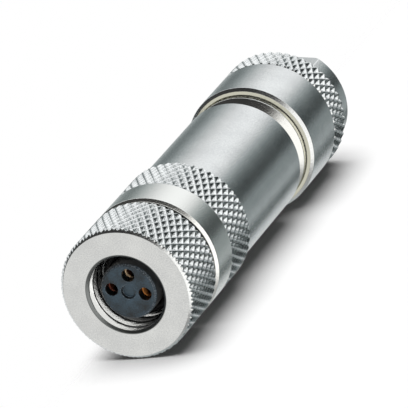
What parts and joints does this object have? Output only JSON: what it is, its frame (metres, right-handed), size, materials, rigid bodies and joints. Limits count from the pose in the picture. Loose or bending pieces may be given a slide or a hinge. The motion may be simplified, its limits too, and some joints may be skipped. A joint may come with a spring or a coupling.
{
  "type": "circular sensor connector",
  "caption": "Straight circular sensor socket with a knurled screw coupling nut, shielded metal housing and a screwed cable gland with wrench flats.",
  "frame": {"origin": "centre of the cable end's face, which the part stands on", "axes": "+Z along the axis towards the socket, -Y towards the middle contact"},
  "size_m": [0.012, 0.012, 0.043],
  "materials": {
    "nickel": "satin nickel plate",
    "spring_steel": "bright",
    "dark_plastic": "moulded, slightly glossy",
    "gold": "gold plated",
    "rubber": "matt",
    "pale_plastic": "moulded"
  },
  "bodies": {
    "housing": {"snap_ring": "spring_steel", "face_seal": "rubber", "insert_shell": "nickel", "contact_carrier": "dark_plastic", "contact_left": "gold", "contact_middle": "gold", "contact_right": "gold", "contact_retainer": "pale_plastic", "lock_ring": "nickel", "shell_seal": "rubber", "housing_sleeve": "nickel", "insulating_tube": "pale_plastic", "shield_ring": "nickel", "cable_seal": "rubber", "thrust_ring": "nickel"},
    "coupling_nut": {"coupling_nut": "nickel"},
    "clamp_cage": {"clamp_cage": "pale_plastic"},
    "gland_nut": {"gland_nut": "nickel"}
  },
  "joints": [
    {"name": "nut_turn", "type": "hinge", "parent": "housing", "child": "coupling_nut", "pos_m": [0, 0, 0.04], "axis": [0, 0, 1], "continuous": true},
    {"name": "gland_travel", "type": "slide", "parent": "housing", "child": "clamp_cage", "axis": [0, 0, 1], "range_m": [-0.003, 0]},
    {"name": "gland_turn", "type": "hinge", "parent": "clamp_cage", "child": "gland_nut", "pos_m": [0, 0, 0.005], "axis": [0, 0, 1], "range_deg": [-1440, 0]}
  ],
  "couplings": [
    {"joint": "gland_travel", "follows": "gland_turn", "m_per_rad": 0.00011936}
  ]
}
